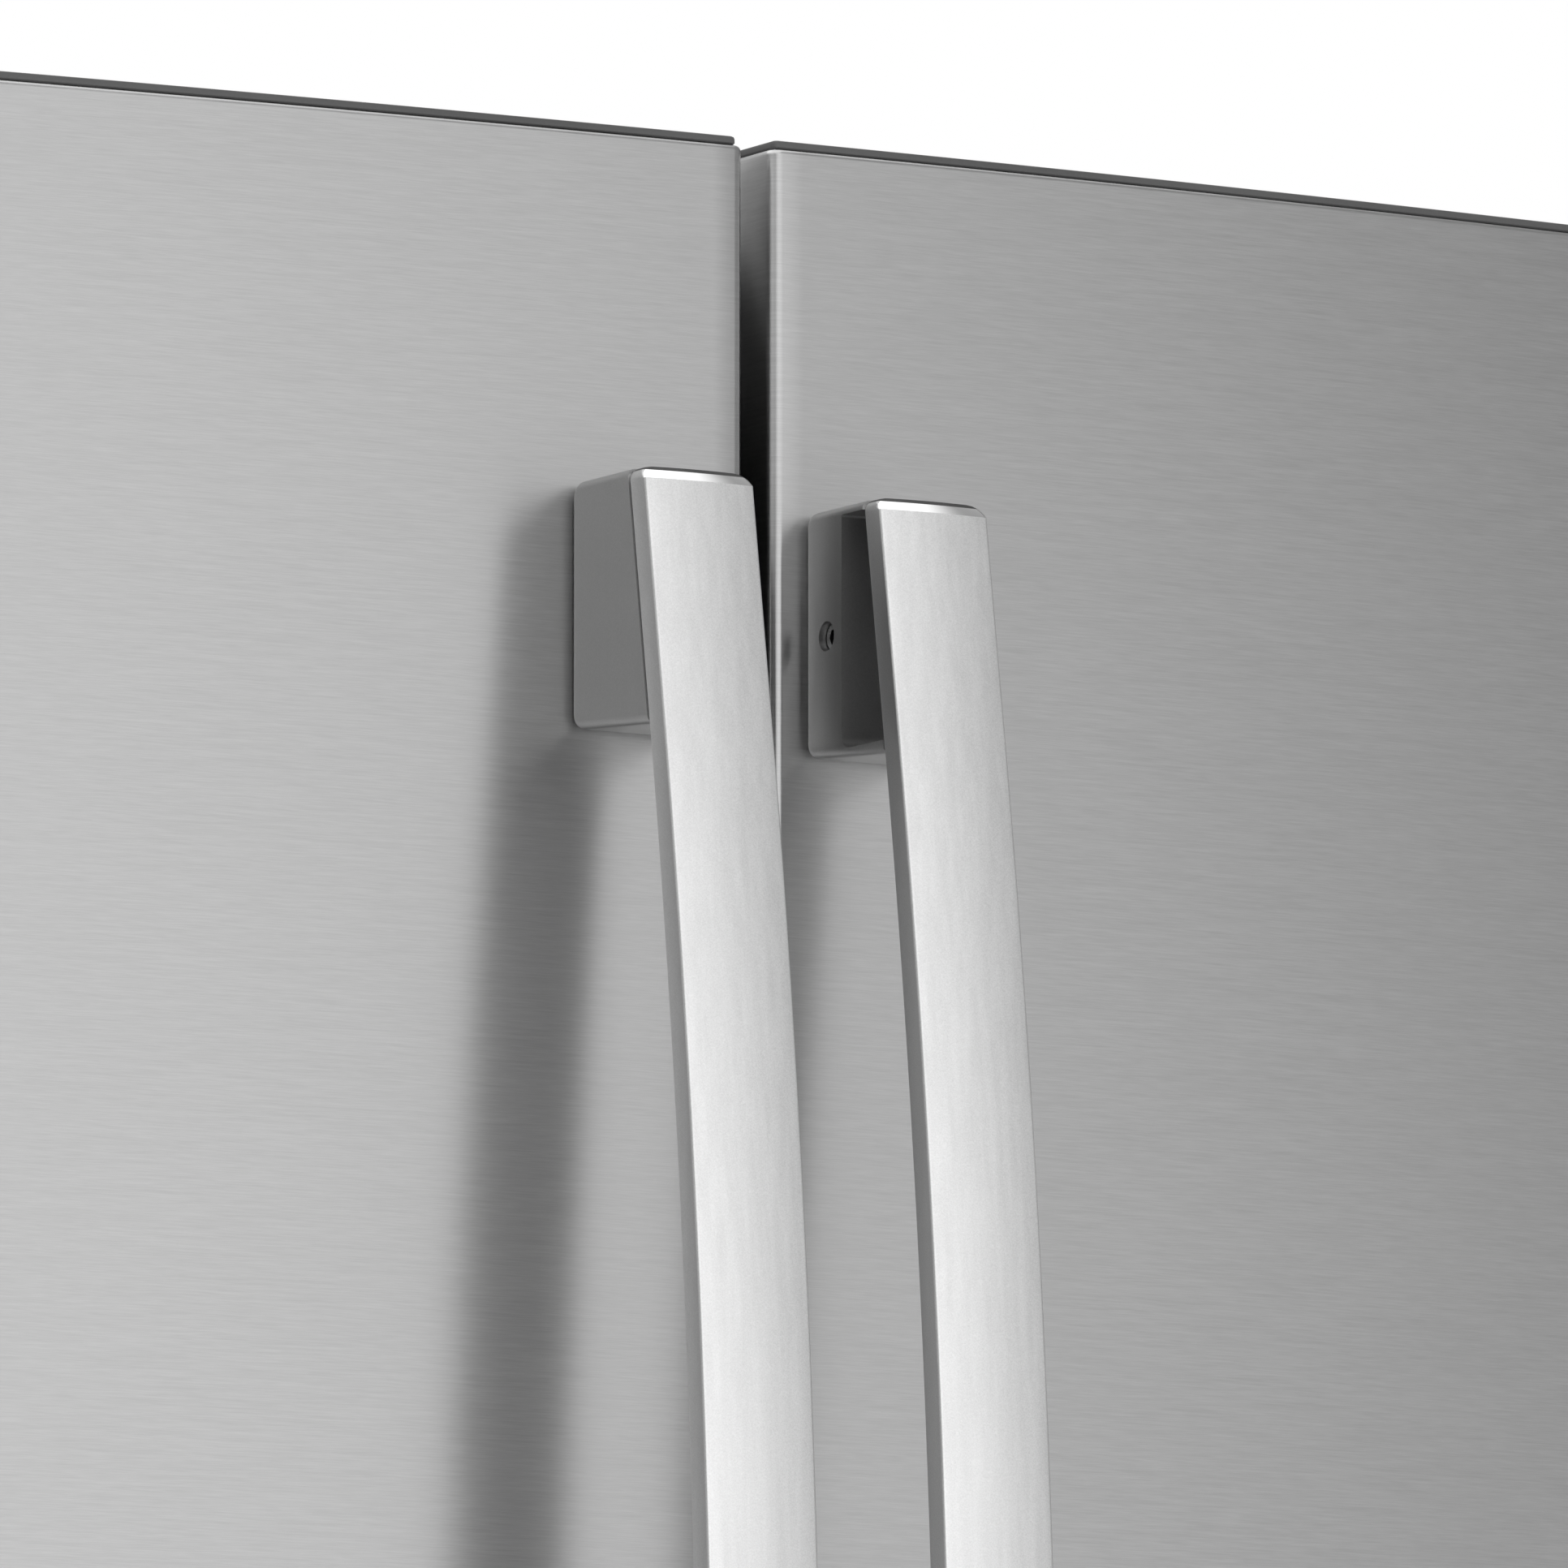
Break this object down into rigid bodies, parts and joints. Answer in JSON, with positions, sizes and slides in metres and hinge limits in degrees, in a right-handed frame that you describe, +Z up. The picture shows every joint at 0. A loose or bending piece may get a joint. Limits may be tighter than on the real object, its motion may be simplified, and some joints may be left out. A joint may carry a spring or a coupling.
{
  "type": "french door refrigerator",
  "caption": "Free-standing refrigerator with side-hinged upper doors, bowed bar handles and a freezer drawer that slides out below.",
  "frame": {"origin": "on the floor, under the middle of the object's box", "axes": "+Z up; +X to the right of someone facing the doors; +Y towards the wall behind"},
  "size_m": [0.908, 0.8462, 1.778],
  "materials": {
    "stainless_skin": "satin",
    "satin_handle": "satin",
    "cabinet_paint": "satin",
    "zinc_steel": "satin",
    "dark_trim": "matte",
    "black_plastic": "matte",
    "white_liner": "satin",
    "clear_plastic": "gloss",
    "shelf_glass": "polished",
    "gasket_rubber": "matte",
    "foam": "matte",
    "black_paint": "gloss"
  },
  "bodies": {
    "root": {"cabinet_wrapper": "cabinet_paint", "center_rail": "cabinet_paint", "back_panel": "zinc_steel", "base_pan": "zinc_steel", "fan_shroud": "zinc_steel", "leveling_leg_left": "zinc_steel", "leveling_leg_right": "zinc_steel", "freezer_rail_left": "zinc_steel", "freezer_rail_right": "zinc_steel", "mid_hinge_left": "zinc_steel", "mid_hinge_right": "zinc_steel", "top_hinge_left": "zinc_steel", "top_hinge_right": "zinc_steel", "base_grille": "dark_trim", "hinge_cover_left": "dark_trim", "hinge_cover_right": "dark_trim", "fresh_food_liner": "white_liner", "freezer_liner": "white_liner", "air_duct_cover": "white_liner", "shelf_left": "shelf_glass", "shelf_right": "shelf_glass", "crisper_cover": "shelf_glass", "insulation_foam": "foam", "compressor": "black_paint", "condenser_coil": "black_paint"},
    "left_door": {"left_door_skin": "stainless_skin", "left_door_liner": "white_liner", "left_door_trim": "dark_trim", "left_door_gasket": "gasket_rubber", "left_door_bin_1": "clear_plastic", "dairy_bin": "clear_plastic", "left_handle_bar": "satin_handle", "left_handle_upper_post": "satin_handle", "left_handle_lower_post": "satin_handle"},
    "right_door": {"right_door_skin": "stainless_skin", "right_door_liner": "white_liner", "right_door_trim": "dark_trim", "right_door_gasket": "gasket_rubber", "right_door_bin_1": "clear_plastic", "right_door_bin_2": "clear_plastic", "right_handle_bar": "satin_handle", "right_handle_upper_post": "satin_handle", "right_handle_lower_post": "satin_handle"},
    "freezer_drawer": {"freezer_drawer_skin": "stainless_skin", "freezer_drawer_liner": "white_liner", "freezer_gasket": "gasket_rubber", "freezer_handle_bar": "satin_handle", "freezer_handle_left_post": "satin_handle", "freezer_handle_right_post": "satin_handle", "freezer_carriage": "zinc_steel", "freezer_basket": "white_liner"},
    "middle_rail_left": {"freezer_middle_rail_left": "zinc_steel"},
    "middle_rail_right": {"freezer_middle_rail_right": "zinc_steel"},
    "mullion": {"mullion_flipper": "white_liner"},
    "dairy_door": {"dairy_lid": "clear_plastic"},
    "left_crisper": {"crisper_left": "clear_plastic"},
    "right_crisper": {"crisper_right": "clear_plastic"},
    "fan": {"condenser_fan": "black_plastic"},
    "rear_rollers": {"rear_roller_axle": "black_plastic"}
  },
  "joints": [
    {"name": "left_door_swing", "type": "hinge", "parent": "root", "child": "left_door", "pos_m": [-0.432, -0.30385, 1.24], "axis": [0, 0, -1], "range_deg": [0, 125]},
    {"name": "right_door_swing", "type": "hinge", "parent": "root", "child": "right_door", "pos_m": [0.432, -0.30385, 1.24], "axis": [0, 0, 1], "range_deg": [0, 125]},
    {"name": "freezer_drawer_slide", "type": "slide", "parent": "root", "child": "freezer_drawer", "axis": [0, -1, 0], "range_m": [0, 0.42]},
    {"name": "middle_rail_left_slide", "type": "slide", "parent": "root", "child": "middle_rail_left", "axis": [0, -1, 0], "range_m": [0, 0.21]},
    {"name": "middle_rail_right_slide", "type": "slide", "parent": "root", "child": "middle_rail_right", "axis": [0, -1, 0], "range_m": [0, 0.21]},
    {"name": "mullion_fold", "type": "hinge", "parent": "left_door", "child": "mullion", "pos_m": [-0.032, -0.25885, 1.24], "axis": [0, 0, -1], "range_deg": [0, 90]},
    {"name": "dairy_lid_flip", "type": "hinge", "parent": "left_door", "child": "dairy_door", "pos_m": [-0.226, -0.27185, 1.567], "axis": [1, 0, 0], "range_deg": [0, 80]},
    {"name": "crisper_left_slide", "type": "slide", "parent": "root", "child": "left_crisper", "axis": [0, -1, 0], "range_m": [0, 0.1]},
    {"name": "crisper_right_slide", "type": "slide", "parent": "root", "child": "right_crisper", "axis": [0, -1, 0], "range_m": [0, 0.1]},
    {"name": "condenser_fan_spin", "type": "hinge", "parent": "root", "child": "fan", "pos_m": [-0.125, 0.31315, 0.18], "axis": [1, 0, 0], "continuous": true},
    {"name": "rear_roller_spin", "type": "hinge", "parent": "root", "child": "rear_rollers", "pos_m": [0, 0.37315, 0.025], "axis": [1, 0, 0], "continuous": true}
  ],
  "couplings": [
    {"joint": "middle_rail_left_slide", "follows": "freezer_drawer_slide", "ratio": 0.5},
    {"joint": "middle_rail_right_slide", "follows": "freezer_drawer_slide", "ratio": 0.5}
  ]
}
